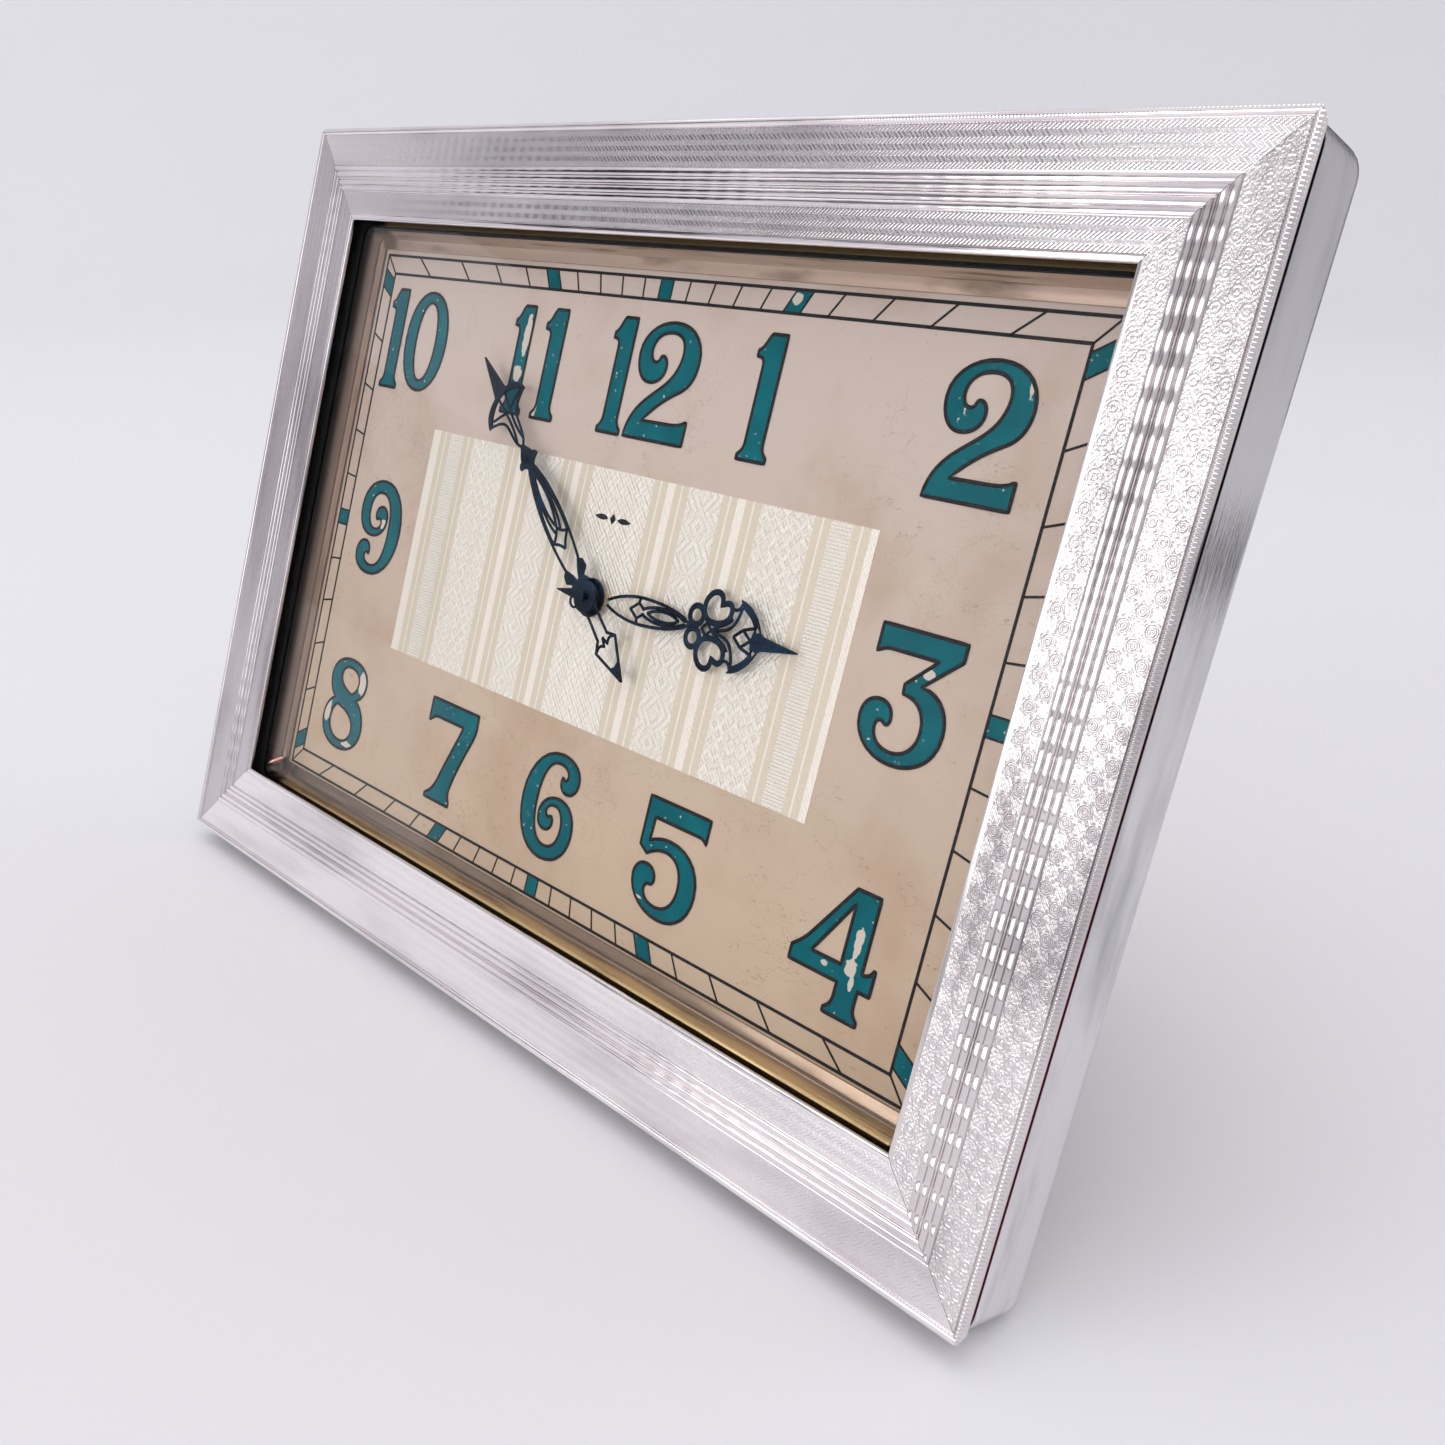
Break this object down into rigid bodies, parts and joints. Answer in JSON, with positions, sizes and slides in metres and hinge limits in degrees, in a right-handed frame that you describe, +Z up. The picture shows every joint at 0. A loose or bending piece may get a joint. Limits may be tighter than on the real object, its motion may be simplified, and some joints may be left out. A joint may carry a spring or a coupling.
{
  "type": "strut clock",
  "caption": "Rectangular table clock with an engine-turned silver frame, a painted dial with pierced hands, a wound movement under a round rear cover, and a folding easel strut.",
  "frame": {"origin": "on the ground under the middle of the bounding box, with the clock leaning back on its open strut", "axes": "+X to the right seen from the front, along the long side; +Y from the dial towards the strut; +Z up"},
  "size_m": [0.16, 0.0746, 0.1091],
  "materials": {
    "silver": "engine-turned silver plate with fine wavy lines, polished beads and light wear",
    "chrome": "plain polished plate with fine scratches",
    "crystal": "clear flat glass",
    "felt": "black felt dust seal",
    "gilt": "aged gilt, brushed along its length",
    "copper": "bare copper",
    "dial_paint": "aged cream paint round an engine-turned panel, with teal numerals outlined in black",
    "leather": "dark red grained leather",
    "blued": "dark blued steel",
    "steel": "bright turned steel",
    "brass": "lacquered brass, lightly aged"
  },
  "bodies": {
    "case": {"frame_bottom_rail": "silver", "frame_right_rail": "silver", "frame_top_rail": "silver", "frame_left_rail": "silver", "face_lining": "leather", "case_rim": "chrome", "glass": "crystal", "glass_gasket": "felt", "inner_bezel": "gilt", "bezel_tab": "copper", "dial_plate": "dial_paint", "back_board": "leather", "back_screw_1": "chrome", "back_screw_2": "chrome", "back_screw_3": "chrome", "back_screw_4": "chrome", "hinge_bracket": "chrome", "hinge_screw_1": "chrome", "hinge_screw_2": "chrome", "hinge_pin": "steel", "front_plate": "brass", "rear_plate": "brass", "pillar_1": "brass", "pillar_2": "brass", "pillar_3": "brass", "pillar_4": "brass", "hairspring": "blued", "balance_cock": "brass", "cock_screw": "steel", "click_screw": "steel", "movement_cover": "brass", "cover_screw_1": "steel", "cover_screw_2": "steel", "cover_screw_3": "steel"},
    "minute_works": {"minute_arbor": "steel", "cannon_pinion": "steel", "minute_hand": "blued", "setting_knob": "brass"},
    "minute_wheel": {"minute_wheel": "brass"},
    "hour_works": {"hour_wheel": "brass", "hour_hand": "blued"},
    "barrel": {"barrel": "brass", "mainspring": "steel"},
    "intermediate_wheel": {"intermediate_wheel": "brass"},
    "centre_wheel": {"centre_wheel": "brass"},
    "third_wheel": {"third_wheel": "brass"},
    "fourth_wheel": {"fourth_wheel": "brass"},
    "escape_wheel": {"escape_wheel": "steel"},
    "pallet_fork": {"pallet_fork": "steel"},
    "balance": {"balance_wheel": "brass"},
    "winding": {"barrel_arbor": "steel", "ratchet_wheel": "steel", "key_hub": "brass", "key_pin": "steel"},
    "key_bow": {"key_bow": "brass"},
    "click": {"click": "steel"},
    "regulator": {"regulator_index": "steel"},
    "strut": {"strut_leg": "leather"}
  },
  "joints": [
    {"name": "hand_setting", "type": "hinge", "parent": "case", "child": "minute_works", "pos_m": [0.00027, -0.00427, 0.05057], "axis": [0, 0.9426, -0.3338], "continuous": true},
    {"name": "minute_wheel_turn", "type": "hinge", "parent": "case", "child": "minute_wheel", "pos_m": [0.00651, -0.01254, 0.04968], "axis": [0, 0.9426, -0.3338], "continuous": true},
    {"name": "hour_wheel_turn", "type": "hinge", "parent": "case", "child": "hour_works", "pos_m": [0.00027, -0.01229, 0.05341], "axis": [0, 0.9426, -0.3338], "continuous": true},
    {"name": "fourth_wheel_turn", "type": "hinge", "parent": "case", "child": "fourth_wheel", "pos_m": [0.00732, -0.00376, 0.05203], "axis": [0, 0.9426, -0.3338], "continuous": true},
    {"name": "escape_wheel_turn", "type": "hinge", "parent": "case", "child": "escape_wheel", "pos_m": [0.00868, -0.00546, 0.04722], "axis": [0, 0.9426, -0.3338], "continuous": true},
    {"name": "third_wheel_turn", "type": "hinge", "parent": "case", "child": "third_wheel", "pos_m": [0.00367, -0.00231, 0.05612], "axis": [0, 0.9426, -0.3338], "continuous": true},
    {"name": "centre_wheel_turn", "type": "hinge", "parent": "case", "child": "centre_wheel", "pos_m": [0.00027, -0.00804, 0.0519], "axis": [0, 0.9426, -0.3338], "continuous": true},
    {"name": "intermediate_wheel_turn", "type": "hinge", "parent": "case", "child": "intermediate_wheel", "pos_m": [-0.00626, -0.00326, 0.05344], "axis": [0, 0.9426, -0.3338], "continuous": true},
    {"name": "barrel_turn", "type": "hinge", "parent": "case", "child": "barrel", "pos_m": [-0.0089, -0.00641, 0.04452], "axis": [0, 0.9426, -0.3338], "continuous": true},
    {"name": "pallet_swing", "type": "hinge", "parent": "case", "child": "pallet_fork", "pos_m": [0.00653, -0.0067, 0.04371], "axis": [0, 0.9426, -0.3338], "range_deg": [-4, 4]},
    {"name": "balance_swing", "type": "hinge", "parent": "case", "child": "balance", "pos_m": [0.00438, -0.00229, 0.03819], "axis": [0, 0.9426, -0.3338], "range_deg": [-150, 150], "stiffness_Nm_per_rad": 0.000006},
    {"name": "winding_turn", "type": "hinge", "parent": "case", "child": "winding", "pos_m": [-0.0089, -0.00095, 0.04258], "axis": [0, 0.9426, -0.3338], "continuous": true},
    {"name": "key_bow_fold", "type": "hinge", "parent": "winding", "child": "key_bow", "pos_m": [-0.0089, 0.00735, 0.03964], "axis": [0.5736, -0.2734, -0.7722], "range_deg": [0, 90]},
    {"name": "click_lift", "type": "hinge", "parent": "case", "child": "click", "pos_m": [-0.01143, 0.00137, 0.04913], "axis": [0, 0.9426, -0.3338], "range_deg": [-15, 0], "stiffness_Nm_per_rad": 0.0001},
    {"name": "regulator_shift", "type": "hinge", "parent": "case", "child": "regulator", "pos_m": [0.00438, 0.00092, 0.03706], "axis": [0, 0.9426, -0.3338], "range_deg": [-20, 20]},
    {"name": "strut_fold", "type": "hinge", "parent": "case", "child": "strut", "pos_m": [0, 0.00894, 0.08668], "axis": [1, 0, 0], "range_deg": [-37, 0]}
  ],
  "couplings": [
    {"joint": "minute_wheel_turn", "follows": "hand_setting", "ratio": -0.33333},
    {"joint": "hour_wheel_turn", "follows": "hand_setting", "ratio": 0.083333},
    {"joint": "escape_wheel_turn", "follows": "fourth_wheel_turn", "ratio": -10},
    {"joint": "third_wheel_turn", "follows": "fourth_wheel_turn", "ratio": -0.125},
    {"joint": "centre_wheel_turn", "follows": "fourth_wheel_turn", "ratio": 0.016667},
    {"joint": "intermediate_wheel_turn", "follows": "fourth_wheel_turn", "ratio": -0.003333},
    {"joint": "barrel_turn", "follows": "fourth_wheel_turn", "ratio": 0.000556}
  ]
}
